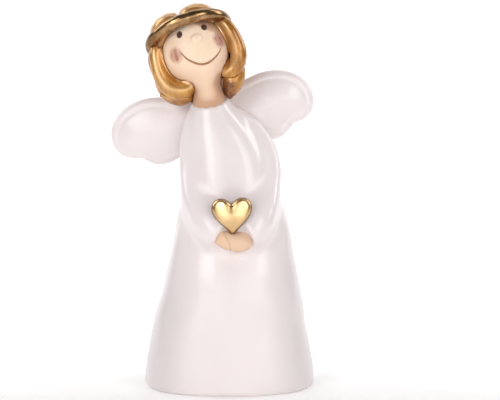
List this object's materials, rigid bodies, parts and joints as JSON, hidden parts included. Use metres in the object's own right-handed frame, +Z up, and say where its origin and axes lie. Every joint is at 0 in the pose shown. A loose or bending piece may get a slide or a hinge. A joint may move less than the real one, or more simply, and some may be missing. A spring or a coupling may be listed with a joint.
{
  "type": "angel figurine",
  "caption": "Standing cast-resin angel figurine in a plain bell gown, with round wings, waved hair and a ring halo, holding a small heart in front.",
  "frame": {"origin": "middle of the flat underside, on the surface the figurine stands on", "axes": "+Z up the figurine, from the base to the hair; the face looks along -Y; +X is the angel's own left"},
  "size_m": [0.0817, 0.0517, 0.1497],
  "materials": {
    "white_glaze": "gloss",
    "skin": "satin",
    "hair": "gloss",
    "gold": "gloss"
  },
  "bodies": {
    "root": {"dress": "white_glaze", "sleeve_left": "white_glaze", "sleeve_right": "white_glaze", "wing_left": "white_glaze", "wing_right": "white_glaze", "head": "skin", "nose": "skin", "hand_left": "skin", "hand_right": "skin", "hair_cap": "hair", "hair_back": "hair", "crown_lobe_left": "hair", "crown_lobe_right": "hair", "front_lock_left": "hair", "front_lock_right": "hair", "side_lock_left": "hair", "side_lock_right": "hair", "halo": "gold", "heart": "gold"}
  },
  "joints": []
}
